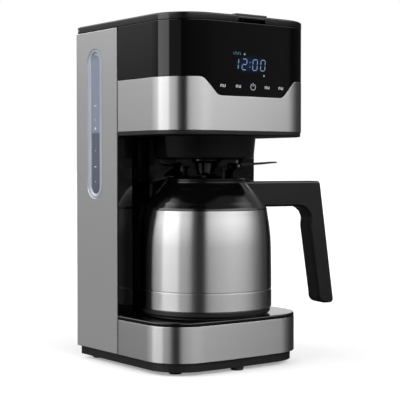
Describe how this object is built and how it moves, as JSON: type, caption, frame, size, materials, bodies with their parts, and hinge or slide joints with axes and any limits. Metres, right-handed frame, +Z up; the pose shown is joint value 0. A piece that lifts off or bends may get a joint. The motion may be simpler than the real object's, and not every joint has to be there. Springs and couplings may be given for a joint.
{
  "type": "drip coffee maker",
  "caption": "Upright drip coffee maker with a steel vacuum jug, hinged top lid, side water window, touch panel with clock and a sprung drip stop.",
  "frame": {"origin": "on the worktop, under the middle of the jug's seat", "axes": "+X to the right seen from the front, +Y to the back, +Z up"},
  "size_m": [0.2345, 0.1879, 0.3517],
  "materials": {
    "black_plastic": "fine moulded texture, satin",
    "satin_black": "smooth, semi-gloss",
    "gloss_black": "high gloss, moulded",
    "brushed_steel": "brushed along the band",
    "jug_steel": "brushed round the jug",
    "silver_panel": "metallic silver, fine vertical brushing",
    "window_frame": "frosted clear edge",
    "window_lens": "clear, faintly blue",
    "clear_tank": "clear moulded plastic, slightly smoky",
    "rubber_feet": "matt",
    "seat_grey": "satin, ringed",
    "silicone": "satin translucent",
    "white_plastic": "moulded",
    "display": "dark glass",
    "circuit_board": "solder-resist green",
    "brass_springs": "plain",
    "basket_grey": "fine moulded texture",
    "cast_aluminium": "as cast",
    "plated_steel": "bright zinc",
    "valve_grey": "satin silicone",
    "collar_black": "satin",
    "handle_black": "satin, fine grain"
  },
  "bodies": {
    "machine": {"bottom_cover": "black_plastic", "feet": "rubber_feet", "base_shell": "black_plastic", "base_band": "brushed_steel", "base_tray": "gloss_black", "jug_seat": "seat_grey", "side_panel_left": "silver_panel", "side_panel_right": "silver_panel", "rear_cover": "black_plastic", "tower_wall": "gloss_black", "window_frame": "window_frame", "window_lens": "window_lens", "water_tank": "clear_tank", "tank_seal": "silicone", "check_valve": "white_plastic", "cord_inlet": "black_plastic", "head_trim": "black_plastic", "head_shell": "black_plastic", "head_band": "brushed_steel", "head_fascia": "gloss_black", "hinge_brackets": "black_plastic", "display_module": "display", "control_board": "circuit_board", "touch_springs": "brass_springs", "filter_housing": "satin_black", "filter_basket": "basket_grey", "valve_cap": "basket_grey", "drip_nozzle": "gloss_black", "heater": "cast_aluminium", "heater_clamps": "plated_steel", "thermostat": "white_plastic", "cold_hose": "silicone", "hot_hose": "silicone", "riser_pipe": "white_plastic", "hose_clips": "plated_steel", "power_board": "circuit_board", "cover_screws": "plated_steel", "drip_spring": "plated_steel"},
    "lid": {"lid": "satin_black", "lid_liner": "basket_grey", "lid_seal": "silicone", "spray_channel": "basket_grey", "lid_hinge_pins": "plated_steel"},
    "drip_stop": {"drip_valve": "valve_grey"},
    "jug": {"jug_base": "black_plastic", "jug_shell": "jug_steel", "jug_liner": "jug_steel", "jug_collar": "collar_black", "jug_handle": "handle_black", "handle_insert": "gloss_black", "handle_screw": "plated_steel"},
    "jug_lid": {"jug_lid": "collar_black", "lid_gasket": "silicone", "lever_pin": "plated_steel", "pour_spring": "plated_steel"},
    "thumb_lever": {"thumb_lever": "handle_black"},
    "pour_valve": {"pour_valve": "valve_grey"}
  },
  "joints": [
    {"name": "lid_hinge", "type": "hinge", "parent": "machine", "child": "lid", "pos_m": [0, 0.1092, 0.3468], "axis": [-1, 0, 0], "range_deg": [0, 85]},
    {"name": "drip_stop_lift", "type": "slide", "parent": "machine", "child": "drip_stop", "axis": [0, 0, 1], "range_m": [0, 0.004], "stiffness_N_per_m": 250, "springref_m": -0.004, "deforming": ["drip_spring"]},
    {"name": "jug_slide_out", "type": "slide", "parent": "machine", "child": "jug", "axis": [0, -1, 0], "range_m": [0, 0.2]},
    {"name": "jug_lid_turn", "type": "hinge", "parent": "jug", "child": "jug_lid", "pos_m": [0, 0, 0.19], "axis": [0, 0, 1], "range_deg": [0, 25]},
    {"name": "thumb_lever_press", "type": "hinge", "parent": "jug_lid", "child": "thumb_lever", "pos_m": [0.03228, -0.00686, 0.2036], "axis": [0.2079, 0.9781, 0], "range_deg": [0, 16], "stiffness_Nm_per_rad": 0.06, "springref_deg": -20.05},
    {"name": "pour_valve_lift", "type": "slide", "parent": "jug_lid", "child": "pour_valve", "axis": [0, 0, 1], "range_m": [0, 0.0023], "deforming": ["pour_spring"]}
  ],
  "couplings": [
    {"joint": "pour_valve_lift", "follows": "thumb_lever_press", "m_per_rad": 0.0079}
  ]
}
